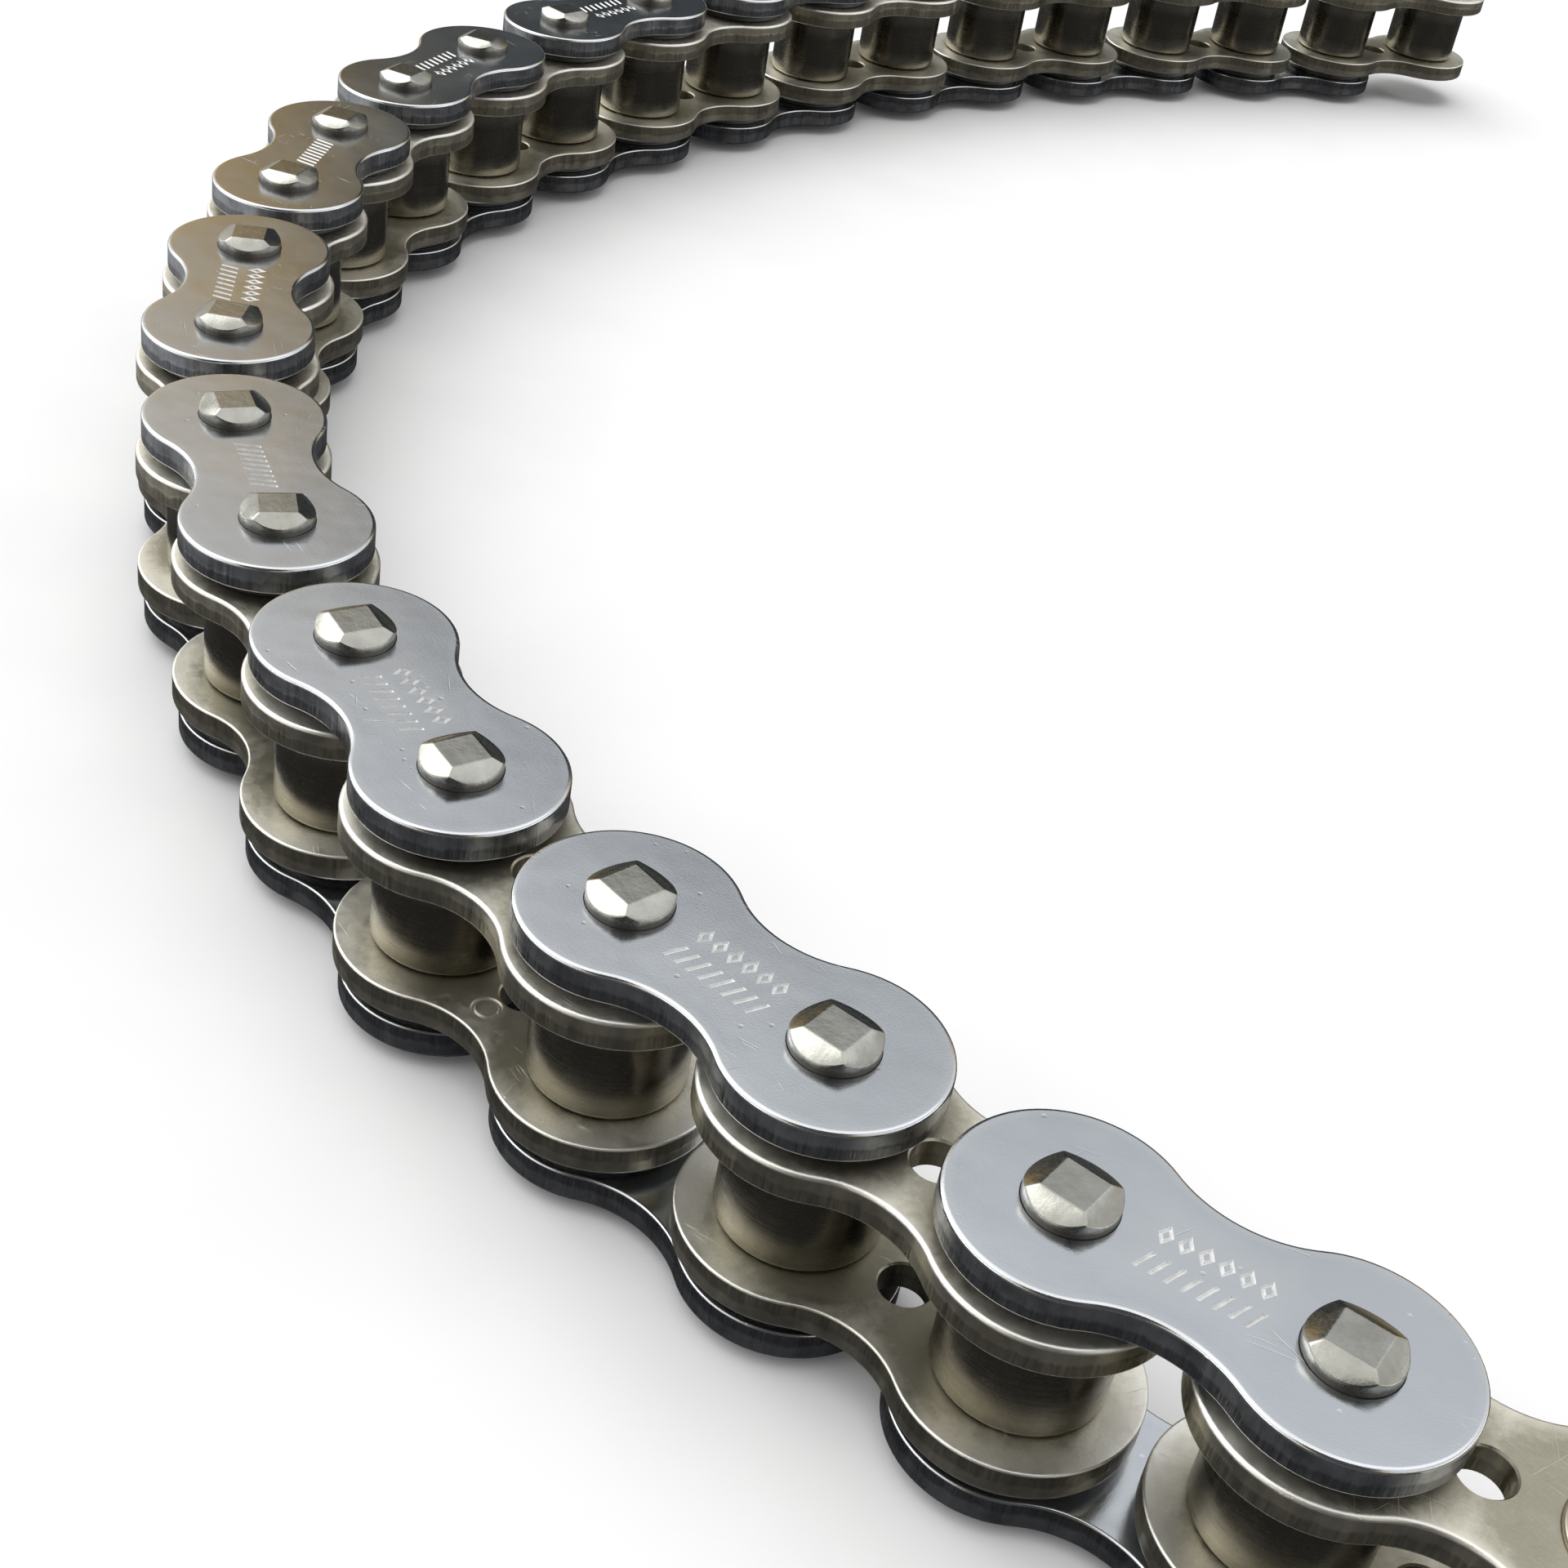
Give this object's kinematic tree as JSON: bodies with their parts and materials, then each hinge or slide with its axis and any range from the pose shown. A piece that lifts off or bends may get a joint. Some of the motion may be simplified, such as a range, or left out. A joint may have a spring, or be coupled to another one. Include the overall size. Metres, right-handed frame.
{
  "type": "roller chain",
  "caption": "Sealed motorcycle roller chain lying on its side in a hook-shaped curve; links hinge on pins, rollers turn on bushes, and both ends have open bushes for a connecting link.",
  "frame": {"origin": "centre of the open bush at the near end, on the chain's middle plane", "axes": "+Z along the pins, up as the chain lies on its side; +X to the side that the curve opens to; the near end points towards +X and -Y"},
  "size_m": [0.144, 0.3051, 0.0208],
  "materials": {
    "outer_link": "polished plated steel",
    "inner_link": "tumbled nickel-plated steel",
    "roller": "ground steel",
    "seal": "greased nitrile rubber"
  },
  "bodies": {
    "inner_link_01": {"inner_link_01": "inner_link"},
    "outer_link_01": {"outer_link_01": "outer_link"},
    "inner_link_02": {"inner_link_02": "inner_link"},
    "outer_link_02": {"outer_link_02": "outer_link"},
    "inner_link_03": {"inner_link_03": "inner_link"},
    "outer_link_03": {"outer_link_03": "outer_link"},
    "inner_link_04": {"inner_link_04": "inner_link"},
    "outer_link_04": {"outer_link_04": "outer_link"},
    "inner_link_05": {"inner_link_05": "inner_link"},
    "outer_link_05": {"outer_link_05": "outer_link"},
    "inner_link_06": {"inner_link_06": "inner_link"},
    "outer_link_06": {"outer_link_06": "outer_link"},
    "inner_link_07": {"inner_link_07": "inner_link"},
    "outer_link_07": {"outer_link_07": "outer_link"},
    "inner_link_08": {"inner_link_08": "inner_link"},
    "outer_link_08": {"outer_link_08": "outer_link"},
    "inner_link_09": {"inner_link_09": "inner_link"},
    "outer_link_09": {"outer_link_09": "outer_link"},
    "inner_link_10": {"inner_link_10": "inner_link"},
    "outer_link_10": {"outer_link_10": "outer_link"},
    "inner_link_11": {"inner_link_11": "inner_link"},
    "outer_link_11": {"outer_link_11": "outer_link"},
    "inner_link_12": {"inner_link_12": "inner_link"},
    "outer_link_12": {"outer_link_12": "outer_link"},
    "inner_link_13": {"inner_link_13": "inner_link"},
    "roller_01": {"roller_01": "roller"},
    "roller_02": {"roller_02": "roller"},
    "roller_03": {"roller_03": "roller"},
    "roller_04": {"roller_04": "roller"},
    "roller_05": {"roller_05": "roller"},
    "roller_06": {"roller_06": "roller"},
    "roller_07": {"roller_07": "roller"},
    "roller_08": {"roller_08": "roller"},
    "roller_09": {"roller_09": "roller"},
    "roller_10": {"roller_10": "roller"},
    "roller_11": {"roller_11": "roller"},
    "roller_12": {"roller_12": "roller"},
    "roller_13": {"roller_13": "roller"},
    "roller_14": {"roller_14": "roller"},
    "roller_15": {"roller_15": "roller"},
    "roller_16": {"roller_16": "roller"},
    "roller_17": {"roller_17": "roller"},
    "roller_18": {"roller_18": "roller"},
    "roller_19": {"roller_19": "roller"},
    "roller_20": {"roller_20": "roller"},
    "roller_21": {"roller_21": "roller"},
    "roller_22": {"roller_22": "roller"},
    "roller_23": {"roller_23": "roller"},
    "roller_24": {"roller_24": "roller"},
    "roller_25": {"roller_25": "roller"},
    "roller_26": {"roller_26": "roller"}
  },
  "joints": [
    {"name": "hinge_02", "type": "hinge", "parent": "outer_link_01", "child": "inner_link_01", "pos_m": [-0.01472, 0.00595, 0], "axis": [0, 0, 1], "range_deg": [-93, 87]},
    {"name": "hinge_03", "type": "hinge", "parent": "inner_link_02", "child": "outer_link_01", "pos_m": [-0.02911, 0.01266, 0], "axis": [0, 0, -1], "range_deg": [-83, 97]},
    {"name": "hinge_04", "type": "hinge", "parent": "outer_link_02", "child": "inner_link_02", "pos_m": [-0.04257, 0.02107, 0], "axis": [0, 0, 1], "range_deg": [-92, 88]},
    {"name": "hinge_05", "type": "hinge", "parent": "inner_link_03", "child": "outer_link_02", "pos_m": [-0.05573, 0.02995, 0], "axis": [0, 0, -1], "range_deg": [-86, 94]},
    {"name": "hinge_06", "type": "hinge", "parent": "outer_link_03", "child": "inner_link_03", "pos_m": [-0.06824, 0.03972, 0], "axis": [0, 0, 1], "range_deg": [-102, 78]},
    {"name": "hinge_07", "type": "hinge", "parent": "inner_link_04", "child": "outer_link_03", "pos_m": [-0.07844, 0.05188, 0], "axis": [0, 0, -1], "range_deg": [-86, 94]},
    {"name": "hinge_08", "type": "hinge", "parent": "outer_link_04", "child": "inner_link_04", "pos_m": [-0.08778, 0.06472, 0], "axis": [0, 0, 1], "range_deg": [-97, 83]},
    {"name": "hinge_09", "type": "hinge", "parent": "inner_link_05", "child": "outer_link_04", "pos_m": [-0.09547, 0.07861, 0], "axis": [0, 0, -1], "range_deg": [-81, 99]},
    {"name": "hinge_10", "type": "hinge", "parent": "inner_link_05", "child": "outer_link_05", "pos_m": [-0.1009, 0.09353, 0], "axis": [0, 0, 1], "range_deg": [-82, 98]},
    {"name": "hinge_11", "type": "hinge", "parent": "outer_link_05", "child": "inner_link_06", "pos_m": [-0.1042, 0.10905, 0], "axis": [0, 0, -1], "range_deg": [-97, 83]},
    {"name": "hinge_12", "type": "hinge", "parent": "inner_link_06", "child": "outer_link_06", "pos_m": [-0.10559, 0.12487, 0], "axis": [0, 0, 1], "range_deg": [-84, 96]},
    {"name": "hinge_13", "type": "hinge", "parent": "outer_link_06", "child": "inner_link_07", "pos_m": [-0.10531, 0.14074, 0], "axis": [0, 0, -1], "range_deg": [-98, 82]},
    {"name": "hinge_14", "type": "hinge", "parent": "inner_link_07", "child": "outer_link_07", "pos_m": [-0.10283, 0.15642, 0], "axis": [0, 0, 1], "range_deg": [-82, 98]},
    {"name": "hinge_15", "type": "hinge", "parent": "outer_link_07", "child": "inner_link_08", "pos_m": [-0.09818, 0.1716, 0], "axis": [0, 0, -1], "range_deg": [-96, 84]},
    {"name": "hinge_16", "type": "hinge", "parent": "inner_link_08", "child": "outer_link_08", "pos_m": [-0.09198, 0.18621, 0], "axis": [0, 0, 1], "range_deg": [-84, 96]},
    {"name": "hinge_17", "type": "hinge", "parent": "outer_link_08", "child": "inner_link_09", "pos_m": [-0.08428, 0.2001, 0], "axis": [0, 0, -1], "range_deg": [-95, 85]},
    {"name": "hinge_18", "type": "hinge", "parent": "inner_link_09", "child": "outer_link_09", "pos_m": [-0.07541, 0.21326, 0], "axis": [0, 0, 1], "range_deg": [-86, 94]},
    {"name": "hinge_19", "type": "hinge", "parent": "outer_link_09", "child": "inner_link_10", "pos_m": [-0.06563, 0.22577, 0], "axis": [0, 0, -1], "range_deg": [-94, 86]},
    {"name": "hinge_20", "type": "hinge", "parent": "inner_link_10", "child": "outer_link_10", "pos_m": [-0.05501, 0.23757, 0], "axis": [0, 0, 1], "range_deg": [-86, 94]},
    {"name": "hinge_21", "type": "hinge", "parent": "outer_link_10", "child": "inner_link_11", "pos_m": [-0.04359, 0.2486, 0], "axis": [0, 0, -1], "range_deg": [-95, 85]},
    {"name": "hinge_22", "type": "hinge", "parent": "inner_link_11", "child": "outer_link_11", "pos_m": [-0.03125, 0.25859, 0], "axis": [0, 0, 1], "range_deg": [-86, 94]},
    {"name": "hinge_23", "type": "hinge", "parent": "outer_link_11", "child": "inner_link_12", "pos_m": [-0.01825, 0.26769, 0], "axis": [0, 0, -1], "range_deg": [-94, 86]},
    {"name": "hinge_24", "type": "hinge", "parent": "inner_link_12", "child": "outer_link_12", "pos_m": [-0.00464, 0.27587, 0], "axis": [0, 0, 1], "range_deg": [-87, 93]},
    {"name": "hinge_25", "type": "hinge", "parent": "outer_link_12", "child": "inner_link_13", "pos_m": [0.00937, 0.28332, 0], "axis": [0, 0, -1], "range_deg": [-92, 88]},
    {"name": "roller_01_spin", "type": "hinge", "parent": "inner_link_01", "child": "roller_01", "pos_m": [0, 0, 0], "axis": [0, 0, 1], "continuous": true},
    {"name": "roller_02_spin", "type": "hinge", "parent": "inner_link_01", "child": "roller_02", "pos_m": [-0.01472, 0.00595, 0], "axis": [0, 0, 1], "continuous": true},
    {"name": "roller_03_spin", "type": "hinge", "parent": "inner_link_02", "child": "roller_03", "pos_m": [-0.02911, 0.01266, 0], "axis": [0, 0, 1], "continuous": true},
    {"name": "roller_04_spin", "type": "hinge", "parent": "inner_link_02", "child": "roller_04", "pos_m": [-0.04257, 0.02107, 0], "axis": [0, 0, 1], "continuous": true},
    {"name": "roller_05_spin", "type": "hinge", "parent": "inner_link_03", "child": "roller_05", "pos_m": [-0.05573, 0.02995, 0], "axis": [0, 0, 1], "continuous": true},
    {"name": "roller_06_spin", "type": "hinge", "parent": "inner_link_03", "child": "roller_06", "pos_m": [-0.06824, 0.03972, 0], "axis": [0, 0, 1], "continuous": true},
    {"name": "roller_07_spin", "type": "hinge", "parent": "inner_link_04", "child": "roller_07", "pos_m": [-0.07844, 0.05188, 0], "axis": [0, 0, 1], "continuous": true},
    {"name": "roller_08_spin", "type": "hinge", "parent": "inner_link_04", "child": "roller_08", "pos_m": [-0.08778, 0.06472, 0], "axis": [0, 0, 1], "continuous": true},
    {"name": "roller_09_spin", "type": "hinge", "parent": "inner_link_05", "child": "roller_09", "pos_m": [-0.09547, 0.07861, 0], "axis": [0, 0, 1], "continuous": true},
    {"name": "roller_10_spin", "type": "hinge", "parent": "inner_link_05", "child": "roller_10", "pos_m": [-0.1009, 0.09353, 0], "axis": [0, 0, 1], "continuous": true},
    {"name": "roller_11_spin", "type": "hinge", "parent": "inner_link_06", "child": "roller_11", "pos_m": [-0.1042, 0.10905, 0], "axis": [0, 0, 1], "continuous": true},
    {"name": "roller_12_spin", "type": "hinge", "parent": "inner_link_06", "child": "roller_12", "pos_m": [-0.10559, 0.12487, 0], "axis": [0, 0, 1], "continuous": true},
    {"name": "roller_13_spin", "type": "hinge", "parent": "inner_link_07", "child": "roller_13", "pos_m": [-0.10531, 0.14074, 0], "axis": [0, 0, 1], "continuous": true},
    {"name": "roller_14_spin", "type": "hinge", "parent": "inner_link_07", "child": "roller_14", "pos_m": [-0.10283, 0.15642, 0], "axis": [0, 0, 1], "continuous": true},
    {"name": "roller_15_spin", "type": "hinge", "parent": "inner_link_08", "child": "roller_15", "pos_m": [-0.09818, 0.1716, 0], "axis": [0, 0, 1], "continuous": true},
    {"name": "roller_16_spin", "type": "hinge", "parent": "inner_link_08", "child": "roller_16", "pos_m": [-0.09198, 0.18621, 0], "axis": [0, 0, 1], "continuous": true},
    {"name": "roller_17_spin", "type": "hinge", "parent": "inner_link_09", "child": "roller_17", "pos_m": [-0.08428, 0.2001, 0], "axis": [0, 0, 1], "continuous": true},
    {"name": "roller_18_spin", "type": "hinge", "parent": "inner_link_09", "child": "roller_18", "pos_m": [-0.07541, 0.21326, 0], "axis": [0, 0, 1], "continuous": true},
    {"name": "roller_19_spin", "type": "hinge", "parent": "inner_link_10", "child": "roller_19", "pos_m": [-0.06563, 0.22577, 0], "axis": [0, 0, 1], "continuous": true},
    {"name": "roller_20_spin", "type": "hinge", "parent": "inner_link_10", "child": "roller_20", "pos_m": [-0.05501, 0.23757, 0], "axis": [0, 0, 1], "continuous": true},
    {"name": "roller_21_spin", "type": "hinge", "parent": "inner_link_11", "child": "roller_21", "pos_m": [-0.04359, 0.2486, 0], "axis": [0, 0, 1], "continuous": true},
    {"name": "roller_22_spin", "type": "hinge", "parent": "inner_link_11", "child": "roller_22", "pos_m": [-0.03125, 0.25859, 0], "axis": [0, 0, 1], "continuous": true},
    {"name": "roller_23_spin", "type": "hinge", "parent": "inner_link_12", "child": "roller_23", "pos_m": [-0.01825, 0.26769, 0], "axis": [0, 0, 1], "continuous": true},
    {"name": "roller_24_spin", "type": "hinge", "parent": "inner_link_12", "child": "roller_24", "pos_m": [-0.00464, 0.27587, 0], "axis": [0, 0, 1], "continuous": true},
    {"name": "roller_25_spin", "type": "hinge", "parent": "inner_link_13", "child": "roller_25", "pos_m": [0.00937, 0.28332, 0], "axis": [0, 0, 1], "continuous": true},
    {"name": "roller_26_spin", "type": "hinge", "parent": "inner_link_13", "child": "roller_26", "pos_m": [0.02364, 0.29028, 0], "axis": [0, 0, 1], "continuous": true}
  ]
}
